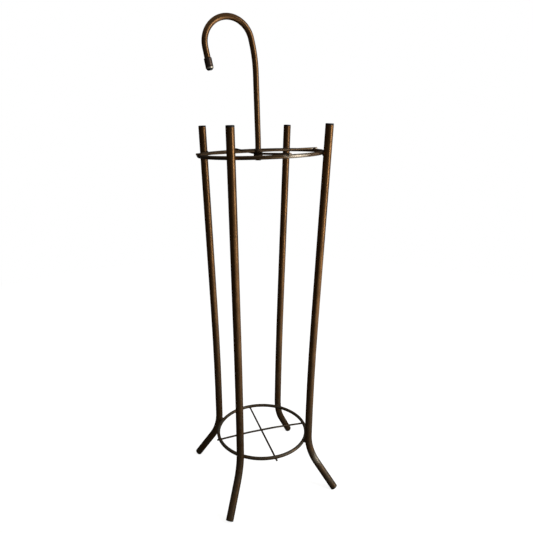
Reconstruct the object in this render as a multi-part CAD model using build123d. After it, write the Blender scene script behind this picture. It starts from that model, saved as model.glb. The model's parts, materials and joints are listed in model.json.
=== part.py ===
from build123d import *

import math
import os

# Umbrella stand, in millimetres. The origin is the floor point under the middle of the whole stand,
# +Z is up, -Y is the front and the carrying hook opens towards -X. The shapes are made about the
# bottom ring's own axis and moved to the origin when they are written.
AXIS_X = -1.16

# Legs: four bent tubes that stand outside both rings, on the diagonals.
LEG_OD = 13.0
LEG_WALL = 1.2
LEG_TOP_RADIUS = 113.5  # from the stand's axis to the tube's centre line at its top
LEG_TOP_Z = 650.0
LEG_TILT = 2.72  # degrees that the upper leg leans in towards the floor
LEG_STRAIGHT_END_Z = 319.0
LEG_BOW_RADIUS = 5750.0
LEG_BOW_TURN = 2.16
FOOT_BEND_RADIUS = 87.7
FOOT_TILT = 34.4  # degrees from vertical of the straight foot
FOOT_END_Z = 3.1  # height of the foot's centre line at the plug's outer face
LEAN_PIVOT_Z = 347.0
# The legs were bent and set by hand. For each: azimuth, sideways lean, twist about a vertical line through
# the lower ring, extra foot tilt (all in degrees), and extra length at the top.
LEGS = {
    "back_right": (45.96, -0.52, -8.7, 0.28, 0.7),
    "back_left": (132.6, -0.93, 4.9, -0.25, -1.0),
    "front_left": (224.8, 0.31, 2.15, -1.14, -1.7),
    "front_right": (316.5, 0.25, 3.2, 1.69, 1.4),
}

# Plugs that close the tube ends.
TOP_PLUG_HEAD = 2.6
TOP_PLUG_ROUND = 1.1
FOOT_PLUG_HEAD = 1.8
FOOT_PLUG_ROUND = 0.5
PLUG_SHANK = 11.0

# Rings: bent round rod, one that gathers the umbrellas and one that holds their tips.
RING_ROD = 6.0
TOP_RING_Z = 606.8
TOP_RING_TILT = 1.75  # degrees that the top ring rises towards +X
TOP_RING_SHIFT = 0.17  # towards +X, so that the tilted ring clears every leg
BOTTOM_RING_Z = 89.7
WELD_GAP = 0.25  # between a leg and a ring, filled by the weld
RING_WELD_RADIUS = 4.3

# Cross bars of the top ring. They lie in notches on the ring and pass through the stem.
BAR_ROD = 3.6
BAR_RISE = 3.5  # height of the bars' ends above the ring's centre plane
BAR_DROP = 3.6  # height that the front-to-back bar loses at the stem, to pass under the other
BAR_TURN = 3.1  # degrees that the front-to-back bar is turned from +Y towards -X
BAR_OVERHANG = 2.6
BAR_WELD_RADIUS = 3.2
HUB_X = -2.3
HUB_Y = 5.7

# Hub: a short collar on the stem, under the left-to-right bar.
COLLAR_OD = 15.0
COLLAR_BOTTOM_Z = 601.5
COLLAR_TOP_Z = 608.6
STEM_WELD_OD = 13.0
STEM_WELD_TOP_Z = 615.2

# Hook: one bent tube, upright through the hub, then a slight lean and a round crook.
HOOK_OD = 9.5
HOOK_WALL = 1.0
STEM_BOTTOM_Z = 597.0
STEM_UPRIGHT = 19.5
STEM_LEAN_RADIUS = 500.0
STEM_LEAN = 1.68
STEM_STRAIGHT_END_Z = 730.1
SHOULDER_RADIUS = 227.0
SHOULDER_TURN = 13.46
CROOK_RADIUS = 37.8
CROOK_TURN = 176.5
CROOK_TAIL = 33.5
STEM_PLUG_HEAD = 1.6
STEM_PLUG_ROUND = 0.7

# Ferrule and rounded plug on the hook's free end.
FERRULE_OD = 12.0
FERRULE_LENGTH = 15.6
FERRULE_CHAMFER = 1.1
FERRULE_PAST_TUBE = 1.0
TIP_PLUG_OD = 10.6
TIP_PLUG_NOSE = 3.9
TIP_PLUG_ROUND = 3.2

# Thin cross wires under the bottom ring.
WIRE_ROD = 3.3
WIRE_RISE = 3.6  # depth of the wires' ends below the ring's centre plane
WIRE_TURN = -4.6  # degrees that the wire cross is turned about +Z
WIRE_OVERHANG = 1.5
WIRE_LIFT_SPAN = 26.0
WIRE_WELD_RADIUS = 2.6

LEG_RADIUS = LEG_OD / 2
LEG_BORE_RADIUS = LEG_RADIUS - LEG_WALL
HOOK_RADIUS = HOOK_OD / 2
HOOK_BORE_RADIUS = HOOK_RADIUS - HOOK_WALL
RING_ROD_RADIUS = RING_ROD / 2
BAR_RADIUS = BAR_ROD / 2
WIRE_RADIUS = WIRE_ROD / 2


def direction(degrees_from_up):
    """Unit vector in a leg's or the hook's own plane, turned from +Y (up) towards -X."""
    angle = math.radians(degrees_from_up)
    return Vector(-math.sin(angle), math.cos(angle))


def leg_path(foot_extra, extra):
    """Centre line of a leg from its top to the foot's end, in its own plane as (radius, height)."""
    slope_out = math.tan(math.radians(LEG_TILT))
    start = Vector(LEG_TOP_RADIUS + extra * slope_out, LEG_TOP_Z + extra)
    knee = Vector(LEG_TOP_RADIUS - (LEG_TOP_Z - LEG_STRAIGHT_END_Z) * slope_out, LEG_STRAIGHT_END_Z)
    upper = Line(start, knee)
    bow = JernArc(upper @ 1, upper % 1, LEG_BOW_RADIUS, LEG_BOW_TURN)
    lower_tilt = LEG_TILT - LEG_BOW_TURN
    # The bow ends where the short straight above the foot's bend would start.
    foot_tilt = FOOT_TILT + foot_extra
    bend = JernArc(bow @ 1, bow % 1, FOOT_BEND_RADIUS, foot_tilt + lower_tilt)
    slope = math.cos(math.radians(foot_tilt))
    plug_rise = FOOT_PLUG_HEAD * slope
    foot_length = ((bend @ 1).Y - FOOT_END_Z - plug_rise) / slope
    foot = Line(bend @ 1, (bend @ 1) + (bend % 1) * foot_length)
    return Wire([upper.edge(), bow.edge(), bend.edge(), foot.edge()])


def hook_path():
    """Centre line of the hook from the stem's lower end to the tube's free end, as (x, height)."""
    foot = Vector(HUB_X, STEM_BOTTOM_Z)
    upright = Line(foot, foot + Vector(0, STEM_UPRIGHT))
    lean = JernArc(upright @ 1, upright % 1, STEM_LEAN_RADIUS, STEM_LEAN)
    run = (STEM_STRAIGHT_END_Z - (lean @ 1).Y) / math.cos(math.radians(STEM_LEAN))
    stem = Line(lean @ 1, (lean @ 1) + (lean % 1) * run)
    shoulder = JernArc(stem @ 1, stem % 1, SHOULDER_RADIUS, SHOULDER_TURN)
    crook = JernArc(shoulder @ 1, shoulder % 1, CROOK_RADIUS, CROOK_TURN)
    tail = Line(crook @ 1, (crook @ 1) + (crook % 1) * (CROOK_TAIL - TIP_PLUG_NOSE))
    pieces = (upright, lean, stem, shoulder, crook, tail)
    return Wire([piece.edge() for piece in pieces])


def tube(path, outer, inner):
    """A round tube along a wire that lies in the XZ plane; inner 0 makes it solid."""
    section = Circle(outer)
    if inner > 0:
        section -= Circle(inner)
    start = Plane(origin=path @ 0, z_dir=path % 0)
    return sweep(start * section, path=path)


def end_plug(head_radius, head, rounding, shank_radius, shank):
    """A plug with its head above z = 0 and its shank below."""
    cap = Pos(0, 0, head / 2) * Cylinder(head_radius, head)
    rim = cap.edges().group_by(Axis.Z)[-1]
    cap = fillet(rim, rounding)
    return cap + Pos(0, 0, -shank / 2) * Cylinder(shank_radius, shank)


def rod_between(start, end, radius):
    """A straight round rod between two points."""
    along = Vector(*end) - Vector(*start)
    return Plane(origin=start, z_dir=along) * extrude(Circle(radius), along.length)


def rod_through(points, bends, radius):
    """A round rod along straight runs with rounded corners."""
    path = FilletPolyline(*points, radius=bends)
    start = Plane(origin=path @ 0, z_dir=path % 0)
    return sweep(start * Circle(radius), path=path)


def write(name, shape):
    """Writes one node, as one solid or as a group of separate solids."""
    solids = [Pos(AXIS_X, 0, 0) * solid for solid in shape.solids()]
    body = solids[0] if len(solids) == 1 else Compound(children=solids)
    export_step(body, f"parts/{name}.step")


def radius_at(path, height):
    """Radius of a leg's centre line at a height, in its own plane."""
    return path.intersect(Line((0, height), (2 * LEG_TOP_RADIUS, height))).vertices()[0].X


def leg_place(path, azimuth, lean, twist):
    """Where a leg made in the XZ plane stands."""
    turned_about = radius_at(path, BOTTOM_RING_Z)
    turned = Pos(turned_about, 0, 0) * Rot(0, 0, twist) * Pos(-turned_about, 0, 0)
    leaned = Pos(0, 0, LEAN_PIVOT_Z) * Rot(-lean, 0, 0) * Pos(0, 0, -LEAN_PIVOT_Z)
    return Rot(0, 0, azimuth) * leaned * turned


def leg_centres(legs, centre_x, height, tilt):
    """Where each leg's centre line passes a ring, from the ring's own centre, as (distance, degrees)."""
    centres = []
    for path, stand in legs:
        level = height
        for _ in range(2):
            point = (stand * Pos(radius_at(path, level), 0, level)).position
            level = height + (point.X - centre_x) * math.tan(math.radians(tilt))
        offset = (point.X - centre_x, point.Y)
        centres.append((math.hypot(*offset), math.degrees(math.atan2(offset[1], offset[0]))))
    return centres


def ring_radius(centres):
    """Radius of a ring that clears every leg by the weld gap at least."""
    nearest = min(distance for distance, _ in centres)
    return nearest - LEG_RADIUS / math.cos(math.radians(LEG_TILT)) - RING_ROD_RADIUS - WELD_GAP


def ring_welds(radius, centres, ring_frame, ring, leg_solids):
    """The beads between a ring and the legs."""
    beads = []
    for (distance, azimuth), leg_solid in zip(centres, leg_solids):
        contact = (radius + RING_ROD_RADIUS + distance - LEG_RADIUS) / 2
        # The ball's poles point at the ring and the leg, where both are cut away.
        ball = Pos(contact, 0, 0) * Rot(0, 90, 0) * Sphere(RING_WELD_RADIUS)
        bead = ring_frame * Rot(0, 0, azimuth) * ball
        beads.append(bead - leg_solid - ring)
    return Compound(children=beads)


os.makedirs("parts", exist_ok=True)

# Legs and their plugs.
floor_block = Pos(0, 0, -LEG_OD) * Box(LEG_TOP_RADIUS * 4, LEG_TOP_RADIUS * 4, LEG_OD * 2)
legs = []
leg_solids = []
for place, (azimuth, lean, twist, foot_extra, extra) in LEGS.items():
    flat_path = leg_path(foot_extra, extra)
    stand = leg_place(flat_path, azimuth, lean, twist)
    path = Plane.XZ * flat_path
    top_plug = Plane(origin=path @ 0, z_dir=(path % 0) * -1) * end_plug(
        LEG_RADIUS, TOP_PLUG_HEAD, TOP_PLUG_ROUND, LEG_BORE_RADIUS, PLUG_SHANK
    )
    foot_plug = Plane(origin=path @ 1, z_dir=path % 1) * end_plug(
        LEG_RADIUS, FOOT_PLUG_HEAD, FOOT_PLUG_ROUND, LEG_BORE_RADIUS, PLUG_SHANK
    )
    legs.append((flat_path, stand))
    leg_solids.append(stand * tube(path, LEG_RADIUS, 0))
    write(f"leg_{place}", stand * tube(path, LEG_RADIUS, LEG_BORE_RADIUS) - floor_block)
    write(f"top_plug_{place}", stand * top_plug)
    write(f"foot_plug_{place}", stand * foot_plug - floor_block)

# Rings and the welds that hold the legs to them.
top_centres = leg_centres(legs, TOP_RING_SHIFT, TOP_RING_Z, TOP_RING_TILT)
bottom_centres = leg_centres(legs, 0, BOTTOM_RING_Z, 0)
top_radius = ring_radius(top_centres)
bottom_radius = ring_radius(bottom_centres)
top_frame = Pos(TOP_RING_SHIFT, 0, TOP_RING_Z) * Rot(0, -TOP_RING_TILT, 0)
bottom_frame = Pos(0, 0, BOTTOM_RING_Z)
top_ring = top_frame * Torus(top_radius, RING_ROD_RADIUS)
bottom_ring = bottom_frame * Torus(bottom_radius, RING_ROD_RADIUS)
write("top_ring", top_ring)
write("bottom_ring", bottom_ring)
write("top_ring_welds", ring_welds(top_radius, top_centres, top_frame, top_ring, leg_solids))
write("bottom_ring_welds", ring_welds(bottom_radius, bottom_centres, bottom_frame, bottom_ring, leg_solids))

# Cross bars of the top ring.
bar_z = BAR_RISE  # in the top ring's own frame
reach = top_radius + RING_ROD_RADIUS + BAR_OVERHANG
half_chord = math.sqrt(reach**2 - HUB_Y**2)
left_end = (-half_chord, HUB_Y, bar_z)
right_end = (half_chord, HUB_Y, bar_z)
bar_left_right = top_frame * rod_between(left_end, right_end, BAR_RADIUS) - top_ring
along_bar = direction(BAR_TURN)
back_end = (HUB_X + along_bar.X * (reach - HUB_Y), HUB_Y + along_bar.Y * (reach - HUB_Y), bar_z)
front_end = (HUB_X - along_bar.X * (reach + HUB_Y), HUB_Y - along_bar.Y * (reach + HUB_Y), bar_z)
hub_back = (HUB_X + along_bar.X * COLLAR_OD, HUB_Y + along_bar.Y * COLLAR_OD, bar_z - BAR_DROP)
hub_front = (HUB_X - along_bar.X * COLLAR_OD, HUB_Y - along_bar.Y * COLLAR_OD, bar_z - BAR_DROP)
bar_bends = COLLAR_OD * 2
bar_front_back = rod_through((front_end, hub_front, hub_back, back_end), bar_bends, BAR_RADIUS)
bar_front_back = top_frame * bar_front_back - top_ring - bar_left_right

# Hook tube, drilled for the two bars, with the collar around it.
hook_line = Pos(0, HUB_Y, 0) * (Plane.XZ * hook_path())
hook = tube(hook_line, HOOK_RADIUS, HOOK_BORE_RADIUS) - bar_left_right - bar_front_back
stem_solid = Pos(HUB_X, HUB_Y, STEM_BOTTOM_Z + STEM_UPRIGHT / 2) * Cylinder(HOOK_RADIUS, STEM_UPRIGHT)
collar_height = COLLAR_TOP_Z - COLLAR_BOTTOM_Z
collar = Pos(HUB_X, HUB_Y, COLLAR_BOTTOM_Z + collar_height / 2) * Cylinder(COLLAR_OD / 2, collar_height)
collar_rims = collar.edges().filter_by(GeomType.CIRCLE)
collar = fillet(collar_rims, WELD_GAP * 2) - stem_solid - bar_left_right - bar_front_back
weld_height = STEM_WELD_TOP_Z - COLLAR_TOP_Z
stem_weld = Pos(HUB_X, HUB_Y, COLLAR_TOP_Z + weld_height / 2) * Cone(
    STEM_WELD_OD / 2, HOOK_RADIUS + WELD_GAP, weld_height
)
stem_weld = stem_weld - stem_solid - bar_left_right - bar_front_back - collar
stem_plug = Pos(HUB_X, HUB_Y, STEM_BOTTOM_Z) * Rot(180, 0, 0) * end_plug(
    HOOK_RADIUS, STEM_PLUG_HEAD, STEM_PLUG_ROUND, HOOK_BORE_RADIUS, STEM_PLUG_HEAD * 3
)
write("top_bar_left_right", bar_left_right)
write("top_bar_front_back", bar_front_back)
write("hook_tube", hook)
write("hub_collar", collar)
write("stem_weld", stem_weld)
write("stem_end_plug", stem_plug)

# Welds where the bars lie on the top ring.
bar_ends = []
for x, y, z in (left_end, right_end, front_end, back_end):
    inward = top_radius / math.hypot(x, y)
    bead = top_frame * Pos(x * inward, y * inward, z) * Sphere(BAR_WELD_RADIUS)
    bar_ends.append(bead - top_ring - bar_left_right - bar_front_back)
write("top_bar_welds", Compound(children=bar_ends))

# Ferrule and tip plug, along the hook's last straight run.
tip_plane = Plane(origin=hook_line @ 1, z_dir=hook_line % 1)
sleeve = Pos(0, 0, FERRULE_PAST_TUBE - FERRULE_LENGTH / 2) * Cylinder(FERRULE_OD / 2, FERRULE_LENGTH)
sleeve = chamfer(sleeve.edges().group_by(Axis.Z)[0], FERRULE_CHAMFER)
tube_seat = Pos(0, 0, -FERRULE_LENGTH / 2) * Cylinder(HOOK_RADIUS, FERRULE_LENGTH)
plug_seat = Pos(0, 0, FERRULE_PAST_TUBE / 2) * Cylinder(TIP_PLUG_OD / 2, FERRULE_PAST_TUBE)
ferrule = tip_plane * (sleeve - tube_seat - plug_seat)
tip_plug = tip_plane * end_plug(
    TIP_PLUG_OD / 2, TIP_PLUG_NOSE, TIP_PLUG_ROUND, HOOK_BORE_RADIUS, PLUG_SHANK
)
write("hook_ferrule", ferrule)
write("hook_tip_plug", tip_plug)

# Thin cross wires under the bottom ring; the second is lifted over the first where they cross.
wire_z = BOTTOM_RING_Z - WIRE_RISE
wire_reach = bottom_radius + RING_ROD_RADIUS + WIRE_OVERHANG
low_wire = rod_between((0, -wire_reach, wire_z), (0, wire_reach, wire_z), WIRE_RADIUS)
lifted_points = (
    (-wire_reach, 0, wire_z),
    (-WIRE_LIFT_SPAN, 0, wire_z + WIRE_ROD),
    (WIRE_LIFT_SPAN, 0, wire_z + WIRE_ROD),
    (wire_reach, 0, wire_z),
)
high_wire = rod_through(lifted_points, WIRE_LIFT_SPAN * 8, WIRE_RADIUS)
low_wire = Rot(0, 0, WIRE_TURN) * low_wire - bottom_ring
high_wire = Rot(0, 0, WIRE_TURN) * high_wire - bottom_ring - low_wire
write("bottom_wire_front_back", low_wire)
write("bottom_wire_left_right", high_wire)

# Welds of the wires under the bottom ring.
wire_beads = []
for quarter in range(4):
    bead = Rot(0, 0, WIRE_TURN + 90 * quarter) * Pos(bottom_radius, 0, wire_z) * Sphere(WIRE_WELD_RADIUS)
    wire_beads.append(bead - bottom_ring - low_wire - high_wire)
write("bottom_wire_welds", Compound(children=wire_beads))
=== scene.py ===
"""Umbrella stand: the aged bronze-brown finish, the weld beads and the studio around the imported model.

The legs, rings, bars, wires, hook, ferrule and plugs are CAD nodes and keep their meshes: each one gets
a procedural finish. The plain weld solids are replaced by uneven runs of beads.
"""

import json
import logging
import math
from dataclasses import dataclass, field
from enum import Enum
from typing import Sequence

import bpy
from mathutils import Matrix, Vector


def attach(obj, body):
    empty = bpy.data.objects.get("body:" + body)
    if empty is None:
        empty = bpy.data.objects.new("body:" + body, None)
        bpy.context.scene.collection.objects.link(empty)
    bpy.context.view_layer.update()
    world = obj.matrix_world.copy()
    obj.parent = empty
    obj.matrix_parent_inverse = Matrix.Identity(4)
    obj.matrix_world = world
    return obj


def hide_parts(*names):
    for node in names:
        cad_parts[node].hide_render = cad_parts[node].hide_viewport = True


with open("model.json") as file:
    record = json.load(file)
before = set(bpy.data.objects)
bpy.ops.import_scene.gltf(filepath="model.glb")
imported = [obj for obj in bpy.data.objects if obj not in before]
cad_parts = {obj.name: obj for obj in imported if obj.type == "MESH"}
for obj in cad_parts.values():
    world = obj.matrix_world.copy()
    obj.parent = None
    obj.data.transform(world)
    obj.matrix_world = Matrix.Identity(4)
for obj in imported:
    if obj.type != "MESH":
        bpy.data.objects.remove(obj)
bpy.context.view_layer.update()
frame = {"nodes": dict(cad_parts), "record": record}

LOG = logging.getLogger("umbrella_stand")
BODY = "root"
MM = 0.001

Colour = tuple[float, float, float]


# ---------------------------------------------------------------- node helpers


class NodeSheet:
    """A thin wrapper that adds nodes to one node tree and links them in one call."""

    def __init__(self, tree: bpy.types.NodeTree) -> None:
        """Start on a tree.

        Args:
            tree: the node tree or group to write to.
        """
        self.tree = tree

    def add(
        self, kind: str, inputs: dict[str | int, object] | None = None, **settings: object
    ) -> bpy.types.Node:
        """Add one node.

        Args:
            kind: the node's type name.
            inputs: values or output sockets, by input name or index.
            settings: attributes of the node itself, set before its inputs.

        Returns:
            The new node.
        """
        node = self.tree.nodes.new(kind)
        for key, value in settings.items():
            setattr(node, key, value)
        for key, value in (inputs or {}).items():
            socket = node.inputs[key]
            if isinstance(value, bpy.types.NodeSocket):
                self.tree.links.new(value, socket)
            else:
                socket.default_value = value
        return node

    def math(
        self, operation: str, first: object, second: object = 0.0, clamp: bool = False
    ) -> bpy.types.NodeSocket:
        """Add a Math node.

        Args:
            operation: the node's operation.
            first: the first value or socket.
            second: the second value or socket.
            clamp: whether the result is kept in 0..1.

        Returns:
            Its output socket.
        """
        node = self.add("ShaderNodeMath", {0: first, 1: second}, operation=operation, use_clamp=clamp)
        return node.outputs[0]

    def ramp(self, value: object, low: object, high: object, smooth: bool = True) -> bpy.types.NodeSocket:
        """Map a value from low..high to 0..1.

        Args:
            value: the socket to map.
            low: the value that becomes 0.
            high: the value that becomes 1.
            smooth: whether the step is eased at its ends.

        Returns:
            The mapped output socket.
        """
        kind = "SMOOTHSTEP" if smooth else "LINEAR"
        inputs = {"Value": value, "From Min": low, "From Max": high}
        return self.add("ShaderNodeMapRange", inputs, interpolation_type=kind).outputs["Result"]

    def mix(self, factor: object, first: object, second: object, blend: str = "MIX") -> bpy.types.NodeSocket:
        """Mix two colours.

        Args:
            factor: the share of the second colour.
            first: a colour or socket.
            second: a colour or socket.
            blend: the blend mode.

        Returns:
            The mixed colour's socket.
        """
        node = self.add("ShaderNodeMix", data_type="RGBA", blend_type=blend)
        for index, value in ((0, factor), (6, first), (7, second)):
            socket = node.inputs[index]
            if isinstance(value, bpy.types.NodeSocket):
                self.tree.links.new(value, socket)
            elif isinstance(value, tuple):
                socket.default_value = (*value, 1.0)
            else:
                socket.default_value = value
        return node.outputs[2]

    def noise(
        self, vector: object, scale: object, detail: float = 3.0, rough: float = 0.55
    ) -> bpy.types.NodeSocket:
        """Add a noise texture.

        Args:
            vector: the socket with the place.
            scale: cells for each unit of length.
            detail: octaves.
            rough: the share that each octave keeps.

        Returns:
            The socket of its value.
        """
        inputs = {"Vector": vector, "Scale": scale, "Detail": detail, "Roughness": rough}
        return self.add("ShaderNodeTexNoise", inputs).outputs["Fac"]


def blank_material(name: str) -> tuple[bpy.types.Material, NodeSheet]:
    """Make a material with an empty node tree.

    Args:
        name: the material's name.

    Returns:
        The material and the sheet of its tree.
    """
    material = bpy.data.materials.new(name)
    material.use_nodes = True
    material.node_tree.nodes.clear()
    return material, NodeSheet(material.node_tree)


@dataclass(frozen=True)
class EffectGroup:
    """A shader node group with named inputs and outputs, built once and reused."""

    name: str
    inputs: Sequence[tuple[str, str, object]]
    outputs: Sequence[tuple[str, str]]

    def open(self) -> tuple[NodeSheet, bpy.types.Node]:
        """Make the group with its sockets.

        Returns:
            The sheet of the group's tree, and its input node.
        """
        tree = bpy.data.node_groups.new(self.name, "ShaderNodeTree")
        for label, kind, value in self.inputs:
            socket = tree.interface.new_socket(label, in_out="INPUT", socket_type=kind)
            if value is not None:
                socket.default_value = value
        for label, kind in self.outputs:
            tree.interface.new_socket(label, in_out="OUTPUT", socket_type=kind)
        sheet = NodeSheet(tree)
        return sheet, sheet.add("NodeGroupInput")


FLOAT = "NodeSocketFloat"
VECTOR = "NodeSocketVector"
COLOUR = "NodeSocketColor"
GEOMETRY = "NodeSocketGeometry"


class Effects:
    """The effects that several finishes share, each as one node group."""

    PATCH_STEP = (0.36, 0.66)
    PATCH_IN_MASK = 0.6
    LINE_STEP = (0.35, 0.7)
    LINE_SHARE = 0.45
    BLOTCH_SCALE = 95.0
    BLOTCH_STEP = (0.55, 0.78)
    BLOTCH_SHARE = 0.5
    SPOT_WOBBLE_SCALE = 900.0
    SPOT_EDGE = 0.02
    CHIP_BROAD_SCALE = 18.0
    CHIP_FINE_SHARE = 0.75
    CHIP_LIMIT = 0.8
    CHIP_EDGE = 0.012
    CHIP_RIM = 0.03
    DUST_FACING = (0.1, 0.95)
    DUST_CLOUD_SCALE = 70.0
    DUST_CLOUD_STEP = (0.3, 0.7)
    DUST_EVEN_SHARE = 0.35
    WORN_AND_HIGHLIGHT_STEP = (0.8, 0.86)
    WORN_AND_HIGHLIGHT_EDGE = 0.25

    def __init__(self) -> None:
        """Build every group."""
        self.patina = self._patina()
        self.grain = self._grain()
        self.specks = self._specks()
        self.chips = self._chips()
        self.dust = self._dust()
        self.worn_and_highlight = self._worn_and_highlight()

    def _patina(self) -> bpy.types.NodeTree:
        """Slow colour change of an old lacquered metal, with long faint drawn lines."""
        sheet, source = EffectGroup(
            "patina",
            [("Place", VECTOR, None), ("Fresh", COLOUR, None), ("Aged", COLOUR, None), ("Deep", COLOUR, None),
             ("Patch Scale", FLOAT, 22.0), ("Line Scale", FLOAT, 420.0), ("Line Stretch", VECTOR, None)],
            [("Color", COLOUR), ("Mask", FLOAT)],
        ).open()
        given = source.outputs
        place = given["Place"]
        stretched = sheet.add(
            "ShaderNodeVectorMath", {0: place, 1: given["Line Stretch"]}, operation="MULTIPLY"
        ).outputs[0]
        patches = sheet.ramp(sheet.noise(place, given["Patch Scale"], 4.0, 0.6), *self.PATCH_STEP)
        lines = sheet.ramp(sheet.noise(stretched, given["Line Scale"], 3.0, 0.6), *self.LINE_STEP)
        blotch = sheet.ramp(sheet.noise(place, self.BLOTCH_SCALE, 5.0, 0.65), *self.BLOTCH_STEP)
        colour = sheet.mix(patches, given["Fresh"], given["Aged"])
        colour = sheet.mix(sheet.math("MULTIPLY", lines, self.LINE_SHARE), colour, given["Deep"])
        colour = sheet.mix(sheet.math("MULTIPLY", blotch, self.BLOTCH_SHARE), colour, given["Deep"])
        mask = sheet.math("MAXIMUM", sheet.math("MULTIPLY", patches, self.PATCH_IN_MASK), blotch)
        sheet.add("NodeGroupOutput", {"Color": colour, "Mask": mask})
        return sheet.tree

    def _grain(self) -> bpy.types.NodeTree:
        """Fine sprayed texture: a tint around 1 and a height."""
        sheet, source = EffectGroup(
            "sprayed_grain",
            [("Place", VECTOR, None), ("Scale", FLOAT, 1400.0), ("Tint Amount", FLOAT, 0.3)],
            [("Tint", FLOAT), ("Height", FLOAT)],
        ).open()
        given = source.outputs
        fine = sheet.noise(given["Place"], given["Scale"], 3.0, 0.65)
        centred = sheet.math("SUBTRACT", fine, 0.5)
        tint = sheet.math("ADD", sheet.math("MULTIPLY", centred, given["Tint Amount"]), 1.0)
        sheet.add("NodeGroupOutput", {"Tint": tint, "Height": fine})
        return sheet.tree

    def _specks(self) -> bpy.types.NodeTree:
        """Sparse small spots, each a random size, most cells with none."""
        sheet, source = EffectGroup(
            "sparse_spots",
            [("Place", VECTOR, None), ("Scale", FLOAT, 110.0), ("Amount", FLOAT, 0.3), ("Size", FLOAT, 0.13)],
            [("Mask", FLOAT)],
        ).open()
        given = source.outputs
        wobble = sheet.noise(given["Place"], self.SPOT_WOBBLE_SCALE, 2.0)
        cells = sheet.add(
            "ShaderNodeTexVoronoi", {"Vector": given["Place"], "Scale": given["Scale"], "Randomness": 1.0}
        )
        own = sheet.add("ShaderNodeSeparateColor", {"Color": cells.outputs["Color"]}).outputs[0]
        limit = sheet.math("SUBTRACT", 1.0, given["Amount"])
        chosen = sheet.ramp(own, limit, 1.0, smooth=False)
        reach = sheet.math("MULTIPLY", chosen, given["Size"])
        ragged = sheet.math("MULTIPLY", reach, sheet.math("ADD", wobble, 0.5))
        inside = sheet.math("SUBTRACT", ragged, cells.outputs["Distance"])
        sheet.add("NodeGroupOutput", {"Mask": sheet.ramp(inside, 0.0, self.SPOT_EDGE)})
        return sheet.tree

    def _chips(self) -> bpy.types.NodeTree:
        """Small chips through the paint, with ragged outlines and a darker rim."""
        sheet, source = EffectGroup(
            "paint_chips",
            [("Place", VECTOR, None), ("Scale", FLOAT, 120.0), ("Amount", FLOAT, 0.12)],
            [("Mask", FLOAT), ("Rim", FLOAT)],
        ).open()
        given = source.outputs
        ragged = sheet.noise(given["Place"], given["Scale"], 5.0, 0.72)
        broad = sheet.noise(given["Place"], self.CHIP_BROAD_SCALE, 2.0)
        fine_part = sheet.math("MULTIPLY", ragged, self.CHIP_FINE_SHARE)
        broad_part = sheet.math("MULTIPLY", broad, 1.0 - self.CHIP_FINE_SHARE)
        level = sheet.math("ADD", fine_part, broad_part)
        over = sheet.math("SUBTRACT", level, sheet.math("SUBTRACT", self.CHIP_LIMIT, given["Amount"]))
        mask = sheet.ramp(over, 0.0, self.CHIP_EDGE)
        rim = sheet.math("SUBTRACT", sheet.ramp(over, -self.CHIP_RIM, 0.0), mask, clamp=True)
        sheet.add("NodeGroupOutput", {"Mask": mask, "Rim": rim})
        return sheet.tree

    def _dust(self) -> bpy.types.NodeTree:
        """Grey-green dust that settles on upward faces and thickens towards the floor."""
        sheet, source = EffectGroup(
            "settled_dust",
            [("Place", VECTOR, None), ("Top Height", FLOAT, 0.3), ("On Tops", FLOAT, 0.3),
             ("Low Down", FLOAT, 0.5)],
            [("Mask", FLOAT)],
        ).open()
        given = source.outputs
        facing = sheet.add("ShaderNodeNewGeometry").outputs["Normal"]
        up = sheet.add("ShaderNodeSeparateXYZ", {"Vector": facing}).outputs["Z"]
        height = sheet.add("ShaderNodeSeparateXYZ", {"Vector": given["Place"]}).outputs["Z"]
        lowness = sheet.math("SUBTRACT", 1.0, sheet.math("DIVIDE", height, given["Top Height"]), clamp=True)
        tops = sheet.math("MULTIPLY", sheet.ramp(up, *self.DUST_FACING), given["On Tops"])
        low = sheet.math("MULTIPLY", lowness, given["Low Down"])
        patches = sheet.noise(given["Place"], self.DUST_CLOUD_SCALE, 4.0, 0.6)
        cloud = sheet.ramp(patches, *self.DUST_CLOUD_STEP)
        uneven = sheet.math("ADD", cloud, self.DUST_EVEN_SHARE)
        total = sheet.math("MULTIPLY", sheet.math("ADD", tops, low), uneven)
        sheet.add("NodeGroupOutput", {"Mask": sheet.math("MINIMUM", total, 1.0)})
        return sheet.tree

    def _worn_and_highlight(self) -> bpy.types.NodeTree:
        """A rubbed patch round one point, solid at its middle and broken up at its edge; it also paints a
        highlight there.
        """
        sheet, source = EffectGroup(
            "worn_and_highlight_patch",
            [("Place", VECTOR, None), ("Centre", VECTOR, None), ("Radius", FLOAT, 0.04),
             ("Scale", FLOAT, 240.0), ("Amount", FLOAT, 0.5)],
            [("Mask", FLOAT)],
        ).open()
        given = source.outputs
        gap = sheet.add(
            "ShaderNodeVectorMath", {0: given["Place"], 1: given["Centre"]}, operation="DISTANCE"
        ).outputs["Value"]
        share = sheet.math("SUBTRACT", 1.0, sheet.math("DIVIDE", gap, given["Radius"]), clamp=True)
        ragged = sheet.noise(given["Place"], given["Scale"], 5.0, 0.7)
        level = sheet.math("ADD", ragged, sheet.math("MULTIPLY", share, given["Amount"]))
        through = sheet.ramp(level, *self.WORN_AND_HIGHLIGHT_STEP)
        edge = sheet.ramp(share, 0.0, self.WORN_AND_HIGHLIGHT_EDGE)
        sheet.add("NodeGroupOutput", {"Mask": sheet.math("MULTIPLY", through, edge)})
        return sheet.tree


# ---------------------------------------------------------------- finishes


@dataclass(frozen=True)
class WornAndHighlightSpot:
    """A place where the paint is rubbed through, which also paints a highlight there."""

    centre: tuple[float, float, float]
    radius: float
    amount: float = 0.5
    scale: float = 240.0


@dataclass(frozen=True)
class RimBand:
    """A band of another colour past a plane across an axis, such as a worn rim; start and fade in metres."""

    along: tuple[float, float, float]
    start: float
    fade: float
    colour: Colour


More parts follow.
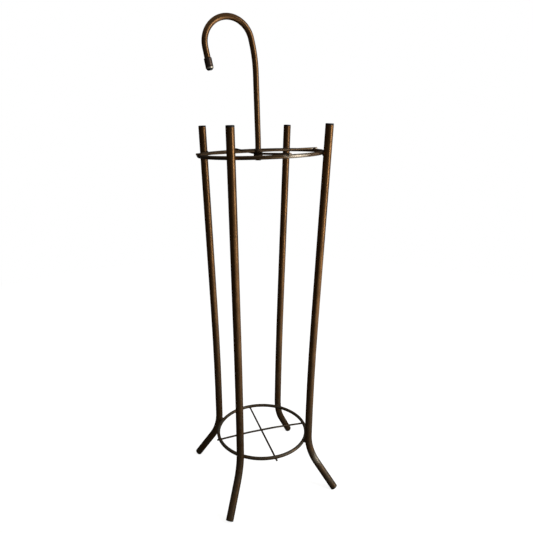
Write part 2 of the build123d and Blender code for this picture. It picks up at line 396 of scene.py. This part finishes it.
@dataclass(frozen=True)
class MetalPaint:
    """Old bronze lacquer on steel: patina, drawn lines, grain, spots, chips, rubbed places and dust. The bright
    specks are exposed metal and painted glints, and the rubbed places also paint highlights.
    """

    BRIGHT_SCALE = 150.0
    BRIGHT_SIZE = 0.11
    RIM_GRIME = 0.6
    BAND_NOISE_SCALE = 700.0
    BAND_EDGE = 0.2 * MM
    BAND_HIDDEN_BY_GRIME = 0.8
    AGED_ROUGHER = 0.12
    DUST_ROUGHER = 0.25
    GRIME_ROUGHER = 0.25
    DUST_DULLS = 0.7
    GRAIN_HEIGHT = 0.25
    BARE_AND_HIGHLIGHT_DEPTH = 0.6
    SPOT_HEIGHT = 0.4
    BUMP_DISTANCE = 0.2 * MM

    name: str
    fresh: Colour
    aged: Colour
    deep: Colour
    bare_and_highlight: Colour = (0.50, 0.42, 0.32)
    dirt: Colour = (0.010, 0.006, 0.004)
    dust: Colour = (0.115, 0.105, 0.075)
    metallic: float = 0.85
    roughness: float = 0.30
    line_stretch: tuple[float, float, float] = (1.0, 1.0, 0.05)
    dark_spots: float = 0.28
    # Share of bright specks: exposed metal at pinholes, and painted glints.
    bright_spots: float = 0.07
    chip_amount: float = 0.08
    dust_top: float = 0.42
    dust_on_tops: float = 0.2
    dust_low: float = 0.6
    grain_amount: float = 0.3
    bump: float = 0.3
    spots: tuple[WornAndHighlightSpot, ...] = ()
    band: RimBand | None = None

    def build(self, effects: Effects) -> bpy.types.Material:
        """Build the material.

        Args:
            effects: the shared effect groups.

        Returns:
            The finished material.
        """
        material, sheet = blank_material(self.name)
        place = sheet.add("ShaderNodeTexCoord").outputs["Object"]

        def effect(group: bpy.types.NodeTree, values: dict[str, object]) -> bpy.types.Node:
            """Place one effect group with its own values."""
            return sheet.add("ShaderNodeGroup", {"Place": place, **values}, node_tree=group)

        tones = {"Fresh": (*self.fresh, 1.0), "Aged": (*self.aged, 1.0), "Deep": (*self.deep, 1.0)}
        patina = effect(effects.patina, {**tones, "Line Stretch": self.line_stretch})
        grain = effect(effects.grain, {"Tint Amount": self.grain_amount})
        dark = effect(effects.specks, {"Amount": self.dark_spots})
        # Bright specks: exposed metal at pinholes, and painted glints.
        bright = effect(
            effects.specks,
            {"Scale": self.BRIGHT_SCALE, "Amount": self.bright_spots, "Size": self.BRIGHT_SIZE},
        )
        chips = effect(effects.chips, {"Amount": self.chip_amount})
        dust = effect(
            effects.dust,
            {"Top Height": self.dust_top, "On Tops": self.dust_on_tops, "Low Down": self.dust_low},
        )
        # The pale mask gathers chips, bright specks and rubbed places: exposed metal, painted glints and
        # painted highlights.
        bare_and_highlight = sheet.math("MAXIMUM", chips.outputs["Mask"], bright.outputs["Mask"])
        # Rubbed places, each of which also paints a highlight.
        for spot in self.spots:
            worn_and_highlight = effect(
                effects.worn_and_highlight,
                {"Centre": spot.centre, "Radius": spot.radius, "Amount": spot.amount, "Scale": spot.scale},
            )
            bare_and_highlight = sheet.math("MAXIMUM", bare_and_highlight, worn_and_highlight.outputs["Mask"])

        tint = sheet.add("ShaderNodeCombineColor", {i: grain.outputs["Tint"] for i in range(3)})
        colour = sheet.mix(1.0, patina.outputs["Color"], tint.outputs[0], "MULTIPLY")
        rims = sheet.math("MULTIPLY", chips.outputs["Rim"], self.RIM_GRIME)
        grime = sheet.math("MAXIMUM", dark.outputs["Mask"], rims)
        colour = sheet.mix(grime, colour, self.dirt)
        colour = sheet.mix(bare_and_highlight, colour, self.bare_and_highlight)
        if self.band:
            colour = sheet.mix(self._band_mask(sheet, place, grime), colour, self.band.colour)
        colour = sheet.mix(dust.outputs["Mask"], colour, self.dust)

        aged = sheet.math("MULTIPLY", patina.outputs["Mask"], self.AGED_ROUGHER)
        dusty = sheet.math("MULTIPLY", dust.outputs["Mask"], self.DUST_ROUGHER)
        grimy = sheet.math("MULTIPLY", grime, self.GRIME_ROUGHER)
        rough = sheet.math("ADD", sheet.math("ADD", aged, self.roughness), dusty)
        rough = sheet.math("ADD", rough, grimy, clamp=True)
        matte = sheet.math("MAXIMUM", grime, sheet.math("MULTIPLY", dust.outputs["Mask"], self.DUST_DULLS))
        metal = sheet.math("MULTIPLY", sheet.math("SUBTRACT", 1.0, matte), self.metallic)

        height = sheet.math("MULTIPLY", grain.outputs["Height"], self.GRAIN_HEIGHT)
        height = sheet.math("SUBTRACT", height, sheet.math("MULTIPLY", bare_and_highlight, self.BARE_AND_HIGHLIGHT_DEPTH))
        height = sheet.math("ADD", height, sheet.math("MULTIPLY", dark.outputs["Mask"], self.SPOT_HEIGHT))
        bump = sheet.add(
            "ShaderNodeBump", {"Height": height, "Strength": self.bump, "Distance": self.BUMP_DISTANCE}
        )
        shader = sheet.add(
            "ShaderNodeBsdfPrincipled",
            {"Base Color": colour, "Roughness": rough, "Metallic": metal, "Normal": bump.outputs["Normal"]},
        )
        sheet.add("ShaderNodeOutputMaterial", {"Surface": shader.outputs["BSDF"]})
        return material

    def _band_mask(
        self, sheet: NodeSheet, place: bpy.types.NodeSocket, grime: bpy.types.NodeSocket
    ) -> bpy.types.NodeSocket:
        """Mask the rim band, with a ragged edge and less of it under grime.

        Args:
            sheet: the material's sheet.
            place: the socket with the object coordinates.
            grime: the socket of the grime mask.

        Returns:
            The socket of the band's mask.
        """
        along = sheet.add("ShaderNodeVectorMath", {0: place, 1: self.band.along}, operation="DOT_PRODUCT")
        ragged = sheet.math("MULTIPLY", sheet.noise(place, self.BAND_NOISE_SCALE, 3.0), self.band.fade)
        past = sheet.math("SUBTRACT", along.outputs["Value"], self.band.start)
        inside = sheet.ramp(sheet.math("SUBTRACT", past, ragged), 0.0, self.BAND_EDGE)
        whole = sheet.math("SUBTRACT", 1.0, sheet.math("MULTIPLY", grime, self.BAND_HIDDEN_BY_GRIME))
        return sheet.math("MULTIPLY", inside, whole)


@dataclass(frozen=True)
class MouldedPlug:
    """Dark moulded plastic or rubber: fine texture, scuffs and dust."""

    GRAIN_SCALE = 2200.0
    SCUFF_SCALE = 420.0
    SCUFF_ROUGHER = 0.2
    DUST_ROUGHER = 0.2
    BUMP_STRENGTH = 0.25
    BUMP_DISTANCE = 0.1 * MM

    name: str
    base: Colour
    scuff: Colour
    dust: Colour = (0.16, 0.155, 0.12)
    roughness: float = 0.5
    dust_on_tops: float = 0.2
    dust_low: float = 0.0
    scuff_amount: float = 0.08

    def build(self, effects: Effects) -> bpy.types.Material:
        """Build the material.

        Args:
            effects: the shared effect groups.

        Returns:
            The finished material.
        """
        material, sheet = blank_material(self.name)
        place = sheet.add("ShaderNodeTexCoord").outputs["Object"]
        grain = sheet.add(
            "ShaderNodeGroup", {"Place": place, "Scale": self.GRAIN_SCALE}, node_tree=effects.grain
        )
        scuffs = sheet.add(
            "ShaderNodeGroup", {"Place": place, "Scale": self.SCUFF_SCALE, "Amount": self.scuff_amount},
            node_tree=effects.chips,
        )
        dust = sheet.add(
            "ShaderNodeGroup", {"Place": place, "On Tops": self.dust_on_tops, "Low Down": self.dust_low},
            node_tree=effects.dust,
        )
        tint = sheet.add("ShaderNodeCombineColor", {i: grain.outputs["Tint"] for i in range(3)})
        colour = sheet.mix(1.0, self.base, tint.outputs[0], "MULTIPLY")
        colour = sheet.mix(scuffs.outputs["Mask"], colour, self.scuff)
        colour = sheet.mix(dust.outputs["Mask"], colour, self.dust)
        scuffed = sheet.math("MULTIPLY", scuffs.outputs["Mask"], self.SCUFF_ROUGHER)
        dusty = sheet.math("MULTIPLY", dust.outputs["Mask"], self.DUST_ROUGHER)
        rough = sheet.math("ADD", sheet.math("ADD", scuffed, self.roughness), dusty, clamp=True)
        bump = sheet.add(
            "ShaderNodeBump",
            {"Height": grain.outputs["Height"], "Strength": self.BUMP_STRENGTH, "Distance": self.BUMP_DISTANCE},
        )
        shader = sheet.add(
            "ShaderNodeBsdfPrincipled",
            {"Base Color": colour, "Roughness": rough, "Normal": bump.outputs["Normal"]},
        )
        sheet.add("ShaderNodeOutputMaterial", {"Surface": shader.outputs["BSDF"]})
        return material


class Slot(Enum):
    """The record's finish slots."""

    LEG = "bronze_paint_leg"
    HOOK = "bronze_paint_hook"
    RING = "bronze_paint_ring"
    WIRE = "bronze_paint_wire"
    WELD = "weld_bead"
    COLLAR = "dark_collar"
    FERRULE = "ferrule_paint"
    PLUG = "dark_plug"
    FOOT_PLUG = "foot_plug_metal"
    TIP = "black_tip"


NO_STRETCH = (1.0, 1.0, 1.0)
BRONZE = (0.32, 0.160, 0.058)
BRONZE_AGED = (0.23, 0.115, 0.043)
BRONZE_DEEP = (0.115, 0.054, 0.017)

# The spots of each finish are rubbed places that also paint highlights.
FINISHES: dict[Slot, MetalPaint | MouldedPlug] = {
    Slot.LEG: MetalPaint(
        Slot.LEG.value, BRONZE, BRONZE_AGED, BRONZE_DEEP, dark_spots=0.2, bright_spots=0.15,
        # This rubbed place paints the highlight streak on the front right foot.
        spots=(WornAndHighlightSpot((0.079, -0.0735, 0.058), 0.022, 0.75, 420.0),),
    ),
    Slot.HOOK: MetalPaint(
        Slot.HOOK.value, (0.31, 0.162, 0.066), (0.26, 0.134, 0.053), (0.185, 0.09, 0.034),
        roughness=0.29, line_stretch=(0.12, 0.12, 0.12), dark_spots=0.04, bright_spots=0.02, chip_amount=0.01,
        dust_on_tops=0.06, grain_amount=0.07, bump=0.06,
        spots=(WornAndHighlightSpot((-0.0035, 0.0057, 0.618), 0.016, 0.4, 420.0),),
    ),
    Slot.RING: MetalPaint(
        Slot.RING.value, (0.25, 0.155, 0.08), (0.18, 0.11, 0.06), (0.08, 0.045, 0.022),
        line_stretch=NO_STRETCH, dark_spots=0.35, bright_spots=0.15, chip_amount=0.12, dust_on_tops=0.3,
        spots=(WornAndHighlightSpot((0.017, -0.101, 0.608), 0.040, 0.62, 380.0),
               WornAndHighlightSpot((0.081, -0.062, 0.610), 0.034, 0.45, 380.0)),
    ),
    Slot.WIRE: MetalPaint(
        Slot.WIRE.value, (0.22, 0.14, 0.075), (0.16, 0.10, 0.055), (0.07, 0.04, 0.02),
        line_stretch=NO_STRETCH, dark_spots=0.3, bright_spots=0.12, chip_amount=0.12,
        spots=(WornAndHighlightSpot((0.105, 0.0057, 0.6136), 0.018, 0.95, 420.0),
               WornAndHighlightSpot((-0.002, -0.106, 0.610), 0.012, 0.6, 420.0),
               WornAndHighlightSpot((0.029, -0.0025, 0.0890), 0.011, 1.2, 500.0)),
    ),
    Slot.WELD: MetalPaint(
        Slot.WELD.value, (0.16, 0.10, 0.055), (0.10, 0.062, 0.035), (0.04, 0.022, 0.012),
        roughness=0.42, line_stretch=NO_STRETCH, bright_spots=0.1, chip_amount=0.14, bump=0.6,
    ),
    # The collar's dark tone is painted shade: the shade under the crossing of the bars.
    Slot.COLLAR: MetalPaint(
        Slot.COLLAR.value, (0.10, 0.062, 0.036), (0.07, 0.044, 0.026), (0.03, 0.018, 0.01),
        roughness=0.42, line_stretch=NO_STRETCH, chip_amount=0.12,
    ),
    Slot.FERRULE: MetalPaint(
        Slot.FERRULE.value, (0.15, 0.105, 0.078), (0.10, 0.068, 0.052), (0.045, 0.028, 0.02),
        bare_and_highlight=(0.80, 0.72, 0.60), roughness=0.40, chip_amount=0.03, bright_spots=0.02, dust_on_tops=0.1,
        band=RimBand((0.2017, 0.0, -0.9794), -0.7391, 0.5 * MM, (0.78, 0.70, 0.56)),
    ),
    Slot.PLUG: MouldedPlug(Slot.PLUG.value, (0.018, 0.015, 0.012), (0.08, 0.07, 0.06)),
    Slot.FOOT_PLUG: MouldedPlug(
        Slot.FOOT_PLUG.value, (0.06, 0.056, 0.045), (0.22, 0.21, 0.18),
        roughness=0.6, dust_low=0.5, scuff_amount=0.16,
    ),
    Slot.TIP: MouldedPlug(Slot.TIP.value, (0.006, 0.006, 0.006), (0.04, 0.04, 0.038), roughness=0.28),
}


@dataclass
class Workshop:
    """The finishes as materials, and the record's node-to-slot table."""

    effects: Effects = field(default_factory=Effects)
    materials: dict[str, bpy.types.Material] = field(default_factory=dict)

    def mix_finishes(self) -> None:
        """Build one material for each slot."""
        for slot, finish in FINISHES.items():
            self.materials[slot.value] = finish.build(self.effects)
            LOG.info("finish %s", slot.value)

    def dress_nodes(self) -> None:
        """Give every CAD node the finish of its slot."""
        for part in frame["record"]["subparts"]:
            node = frame["nodes"][part["node"]]
            node.data.materials.clear()
            node.data.materials.append(self.materials[part["material_slot"]])
            LOG.info("dressed %s in %s", part["node"], part["material_slot"])


# ---------------------------------------------------------------- weld beads


@dataclass(frozen=True)
class WeldPass:
    """One loop of weld round a joint, in millimetres."""

    half_width: float
    half_height: float
    lift: float = 0.0


@dataclass(frozen=True)
class WeldPlan:
    """How the welds of one CAD node are laid.

    The node's welds stand one in each of the equal sectors about +Z; first_sector, in degrees, turns them so
    that no border cuts a weld. Upright loops face outward and the others lie level. bead is in millimetres.
    """

    node: str
    first_sector: float
    sectors: int
    upright: bool
    passes: tuple[WeldPass, ...]
    bead: float
    seed: int

    @property
    def piece(self) -> str:
        """The new piece's name."""
        return f"{self.node}_beads"


WELD_PLANS: tuple[WeldPlan, ...] = (
    WeldPlan("top_ring_welds", 0.0, 4, True, (WeldPass(3.3, 3.0), WeldPass(1.6, 1.5)), 1.45, 3),
    WeldPlan("bottom_ring_welds", 0.0, 4, True, (WeldPass(3.1, 2.8), WeldPass(1.5, 1.4)), 1.4, 8),
    WeldPlan("top_bar_welds", 45.0, 4, False, (WeldPass(2.0, 1.9, -1.0), WeldPass(1.6, 1.2, 0.0)), 0.95, 13),
    WeldPlan("bottom_wire_welds", 45.0, 4, False, (WeldPass(1.6, 1.2, 0.8),), 0.85, 21),
    WeldPlan(
        "stem_weld", 0.0, 1, False,
        (WeldPass(5.3, 5.3, -1.9), WeldPass(4.8, 4.8, -0.3), WeldPass(4.4, 4.4, 1.4)), 1.05, 34,
    ),
)


class WeldBeads:
    """Lays uneven beads along loops and melts them into one skin.

    The loops come in millimetres, so that the volume grid keeps its precision, and leave in metres.
    """

    LOOP_STEPS = 28
    SPACING_SHARE = 1.1
    STRAY = 0.3
    SKIN_LEVEL = 0.12
    RIPPLE_SCALE = 0.9

    def __init__(self, material: bpy.types.Material) -> None:
        """Grow the node tree.

        Args:
            material: the finish of every weld.
        """
        self.material = material
        self.tree = self._grow()

    def _grow(self) -> bpy.types.NodeTree:
        """Build the Geometry Nodes tree."""
        tree = bpy.data.node_groups.new("weld_beads", "GeometryNodeTree")
        for label, kind, value in (
            ("Loops", GEOMETRY, None), ("Spacing", FLOAT, 1.5), ("Bead Radius", FLOAT, 1.4),
            ("Unevenness", FLOAT, 0.28), ("Voxel", FLOAT, 0.3), ("Ripple", FLOAT, 0.3),
            ("Seed", "NodeSocketInt", 1), ("Finish", "NodeSocketMaterial", None),
        ):
            socket = tree.interface.new_socket(label, in_out="INPUT", socket_type=kind)
            if value is not None:
                socket.default_value = value
        tree.interface.new_socket("Skin", in_out="OUTPUT", socket_type=GEOMETRY)
        sheet = NodeSheet(tree)
        given = sheet.add("NodeGroupInput").outputs
        curve = sheet.add("GeometryNodeMeshToCurve", {"Mesh": given["Loops"]})
        dots = sheet.add(
            "GeometryNodeCurveToPoints", {"Curve": curve.outputs["Curve"], "Length": given["Spacing"]},
            mode="LENGTH",
        )
        low = sheet.math("SUBTRACT", 1.0, given["Unevenness"])
        high = sheet.math("ADD", 1.0, given["Unevenness"])
        vary = sheet.add("FunctionNodeRandomValue", {2: low, 3: high, 8: given["Seed"]}, data_type="FLOAT")
        size = sheet.math("MULTIPLY", vary.outputs[1], given["Bead Radius"])
        stray = sheet.add(
            "FunctionNodeRandomValue", {0: (-self.STRAY,) * 3, 1: (self.STRAY,) * 3, 8: given["Seed"]},
            data_type="FLOAT_VECTOR",
        )
        strewn = sheet.add(
            "GeometryNodeSetPosition", {"Geometry": dots.outputs["Points"], "Offset": stray.outputs[0]}
        )
        cloud = sheet.add(
            "GeometryNodePointsToVolume",
            {"Points": strewn.outputs[0], "Voxel Size": given["Voxel"], "Radius": size},
            resolution_mode="VOXEL_SIZE",
        )
        skin = sheet.add("GeometryNodeVolumeToMesh", {"Volume": cloud.outputs[0], "Threshold": self.SKIN_LEVEL})
        where = sheet.add("GeometryNodeInputPosition").outputs[0]
        wave = sheet.math("SUBTRACT", sheet.noise(where, self.RIPPLE_SCALE, 3.0), 0.5)
        normal = sheet.add("GeometryNodeInputNormal").outputs[0]
        push = sheet.add(
            "ShaderNodeVectorMath", {0: normal, "Scale": sheet.math("MULTIPLY", wave, given["Ripple"])},
            operation="SCALE",
        )
        rippled = sheet.add("GeometryNodeSetPosition", {"Geometry": skin.outputs[0], "Offset": push.outputs[0]})
        smooth = sheet.add("GeometryNodeSetShadeSmooth", {"Geometry": rippled.outputs[0]})
        metres = sheet.add("GeometryNodeTransform", {"Geometry": smooth.outputs[0], "Scale": (MM, MM, MM)})
        real = sheet.add("GeometryNodeRealizeInstances", {"Geometry": metres.outputs[0]})
        dressed = sheet.add(
            "GeometryNodeSetMaterial", {"Geometry": real.outputs[0], "Material": given["Finish"]}
        )
        sheet.add("NodeGroupOutput", {"Skin": dressed.outputs[0]})
        return tree

    @staticmethod
    def joints(plan: WeldPlan) -> list[Vector]:
        """Find the middle of each weld of a CAD node, one in each sector about the stand's axis.

        Args:
            plan: the node and the sectors its welds lie in.

        Returns:
            The middles, in metres.
        """
        found: dict[int, list[Vector]] = {}
        node = frame["nodes"][plan.node]
        width = 360.0 / plan.sectors
        for vertex in node.data.vertices:
            point = node.matrix_world @ vertex.co
            turn = math.degrees(math.atan2(point.y, point.x)) + plan.first_sector
            found.setdefault(int(turn % 360.0 // width), []).append(point)
        middles = []
        for points in found.values():
            spans = [(min(p[axis] for p in points), max(p[axis] for p in points)) for axis in range(3)]
            middles.append(Vector([(low + high) / 2 for low, high in spans]))
        return middles

    def _loops(self, plan: WeldPlan) -> bpy.types.Mesh:
        """Make the loops of a plan as a mesh of edges, in millimetres."""
        points: list[Vector] = []
        edges: list[tuple[int, int]] = []
        for middle in self.joints(plan):
            outward = Vector((middle.x, middle.y, 0.0)).normalized()
            along = Vector((-outward.y, outward.x, 0.0))
            other = Vector((0.0, 0.0, 1.0)) if plan.upright else outward
            for lap in plan.passes:
                first = len(points)
                centre = middle / MM + Vector((0.0, 0.0, lap.lift))
                for step in range(self.LOOP_STEPS):
                    turn = math.tau * step / self.LOOP_STEPS
                    sideways = along * lap.half_width * math.cos(turn)
                    points.append(centre + sideways + other * lap.half_height * math.sin(turn))
                    edges.append((first + step, first + (step + 1) % self.LOOP_STEPS))
        mesh = bpy.data.meshes.new(plan.piece)
        mesh.from_pydata(points, edges, [])
        return mesh

    def lay(self, plan: WeldPlan) -> bpy.types.Object:
        """Lay the beads of one plan in place of its CAD node.

        Args:
            plan: the loops, the bead's size and the node that the beads replace.

        Returns:
            The new piece.
        """
        piece = bpy.data.objects.new(plan.piece, self._loops(plan))
        bpy.context.scene.collection.objects.link(piece)
        modifier = piece.modifiers.new("beads", "NODES")
        modifier.node_group = self.tree
        wanted = {
            "Spacing": plan.bead * self.SPACING_SHARE, "Bead Radius": plan.bead,
            "Seed": plan.seed, "Finish": self.material,
        }
        for item in self.tree.interface.items_tree:
            if item.in_out == "INPUT" and item.name in wanted:
                modifier[item.identifier] = wanted[item.name]
        graph = bpy.context.evaluated_depsgraph_get()
        skin = bpy.data.meshes.new_from_object(piece.evaluated_get(graph))
        piece.modifiers.remove(modifier)
        piece.data = skin
        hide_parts(plan.node)
        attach(piece, BODY)
        LOG.info("laid %s: %d faces", plan.piece, len(skin.polygons))
        return piece


@dataclass(frozen=True)
class SoftBox:
    """An upright rectangular light that faces the stand.

    turn is in degrees to the right of the camera, seen from the stand. distance is from the stand's axis
    and height is that of the light's middle, in metres. size is width and height, and power is in watts.
    """

    name: str
    turn: float
    distance: float
    height: float
    size: tuple[float, float]
    power: float


SOFT_BOXES: tuple[SoftBox, ...] = (
    SoftBox("key_box", 66.0, 1.3, 0.85, (0.42, 1.5), 8.0),
    SoftBox("rim_box", 112.0, 1.5, 1.0, (0.5, 1.3), 2.0),
)


@dataclass
class Studio:
    """Pale floor, soft light and the camera. None of it belongs to the stand."""

    camera_azimuth: float = -21.657
    camera_distance: float = 0.79634
    camera_height: float = 0.64457
    camera_pitch: float = 14.189
    camera_yaw: float = -0.658
    camera_roll: float = -0.117
    camera_lens: float = 32.134
    camera_shift: tuple[float, float] = (0.0, -0.031)
    ring_axis: Vector = field(default_factory=lambda: Vector((-0.00116, 0.0, 0.0)))
    floor_radius: float = 1.6
    floor_steps: int = 96
    floor_seen: float = 0.86
    floor_glow: float = 0.9
    glow_turn: float = 80.0
    glow_reach: tuple[float, float] = (0.1, 0.7)
    dome_reach: tuple[float, float] = (0.25, 0.8)
    dome: float = 0.16
    dim: float = 0.025

    def _towards(self, turn: float) -> Vector:
        """Find a level direction from the stand.

        Args:
            turn: degrees to the right of the camera.

        Returns:
            The unit vector.
        """
        angle = math.radians(self.camera_azimuth + turn)
        return Vector((math.sin(angle), -math.cos(angle), 0.0))

    def place_camera(self) -> bpy.types.Object:
        """Make the scene's camera.

        Returns:
            The camera object.
        """
        data = bpy.data.cameras.new("camera")
        data.sensor_width = 36.0
        data.lens = self.camera_lens
        data.shift_x, data.shift_y = self.camera_shift
        camera = bpy.data.objects.new("camera", data)
        bpy.context.scene.collection.objects.link(camera)
        heading = math.radians(self.camera_azimuth + self.camera_yaw)
        pitch = math.radians(self.camera_pitch)
        across = self._towards(0.0) * self.camera_distance
        level_part = math.cos(pitch)
        forward = Vector((-math.sin(heading) * level_part, math.cos(heading) * level_part, -math.sin(pitch)))
        camera.rotation_mode = "QUATERNION"
        camera.location = self.ring_axis + across + Vector((0.0, 0.0, self.camera_height))
        level = forward.to_track_quat("-Z", "Y")
        roll = Matrix.Rotation(math.radians(self.camera_roll), 4, "Z").to_quaternion()
        camera.rotation_quaternion = level @ roll
        bpy.context.scene.camera = camera
        return camera

    def lay_floor(self) -> bpy.types.Object:
        """Make the round pale floor.

        Returns:
            The floor object.
        """
        turns = [math.tau * step / self.floor_steps for step in range(self.floor_steps)]
        radius = self.floor_radius
        points = [(radius * math.cos(turn), radius * math.sin(turn), 0.0) for turn in turns]
        mesh = bpy.data.meshes.new("studio_floor")
        mesh.from_pydata(points, [], [tuple(range(self.floor_steps))])
        floor = bpy.data.objects.new("studio_floor", mesh)
        bpy.context.scene.collection.objects.link(floor)
        material, sheet = blank_material("studio_floor")
        seen = sheet.add("ShaderNodeBsdfDiffuse", {"Color": (0.9, 0.9, 0.9, 1.0)})
        glow = sheet.add("ShaderNodeEmission", {"Color": (1.0, 1.0, 1.0, 1.0), "Strength": self.floor_seen})
        bright = sheet.add("ShaderNodeAddShader", {0: seen.outputs[0], 1: glow.outputs[0]})
        side = tuple(self._towards(self.glow_turn))
        place = sheet.add("ShaderNodeTexCoord").outputs["Object"]
        reach = sheet.add("ShaderNodeVectorMath", {0: place, 1: side}, operation="DOT_PRODUCT")
        share = sheet.ramp(reach.outputs["Value"], *self.glow_reach)
        lit = sheet.math("MULTIPLY", share, self.floor_glow)
        matte = sheet.add("ShaderNodeBsdfDiffuse", {"Color": (0.12, 0.11, 0.09, 1.0)})
        spread = sheet.add("ShaderNodeEmission", {"Color": (1.0, 0.97, 0.92, 1.0), "Strength": lit})
        bounced = sheet.add("ShaderNodeAddShader", {0: matte.outputs[0], 1: spread.outputs[0]})
        path = sheet.add("ShaderNodeLightPath")
        both = sheet.add(
            "ShaderNodeMixShader",
            {0: path.outputs["Is Camera Ray"], 1: bounced.outputs[0], 2: bright.outputs[0]},
        )
        sheet.add("ShaderNodeOutputMaterial", {"Surface": both.outputs[0]})
        mesh.materials.append(material)
        return floor

    def light(self) -> None:
        """Set the soft dome and hang the soft boxes."""
        world = bpy.data.worlds.new("studio")
        bpy.context.scene.world = world
        world.use_nodes = True
        world.node_tree.nodes.clear()
        sheet = NodeSheet(world.node_tree)
        path = sheet.add("ShaderNodeLightPath")
        direction = sheet.add("ShaderNodeTexCoord").outputs["Generated"]
        up = sheet.add("ShaderNodeSeparateXYZ", {"Vector": direction}).outputs["Z"]
        dome = sheet.math("MULTIPLY", sheet.ramp(up, *self.dome_reach), self.dome)
        strength = sheet.math("ADD", dome, self.dim)
        lit = sheet.add("ShaderNodeBackground", {"Color": (1.0, 0.98, 0.95, 1.0), "Strength": strength})
        seen = sheet.add("ShaderNodeBackground", {"Color": (1.0, 1.0, 1.0, 1.0), "Strength": 1.0})
        both = sheet.add(
            "ShaderNodeMixShader", {0: path.outputs["Is Camera Ray"], 1: lit.outputs[0], 2: seen.outputs[0]}
        )
        sheet.add("ShaderNodeOutputWorld", {"Surface": both.outputs[0]})
        for box in SOFT_BOXES:
            self._hang(box)

    def _hang(self, box: SoftBox) -> None:
        """Add one soft box.

        Args:
            box: its place, size and power.
        """
        data = bpy.data.lights.new(box.name, "AREA")
        data.shape = "RECTANGLE"
        data.size, data.size_y = box.size
        data.energy = box.power
        light = bpy.data.objects.new(box.name, data)
        bpy.context.scene.collection.objects.link(light)
        away = self._towards(box.turn)
        light.location = away * box.distance + Vector((0.0, 0.0, box.height))
        light.rotation_mode = "QUATERNION"
        light.rotation_quaternion = (-away).to_track_quat("-Z", "Y")
        light.visible_camera = False


def main() -> None:
    """Build the looks, in order."""
    logging.basicConfig(level=logging.INFO, format="%(name)s: %(message)s")
    studio = Studio()
    studio.place_camera()
    studio.lay_floor()
    studio.light()
    bpy.context.scene.view_settings.view_transform = "Standard"
    shop = Workshop()
    shop.mix_finishes()
    shop.dress_nodes()
    welder = WeldBeads(shop.materials[Slot.WELD.value])
    for plan in WELD_PLANS:
        welder.lay(plan)


if __name__ == "__main__":
    main()
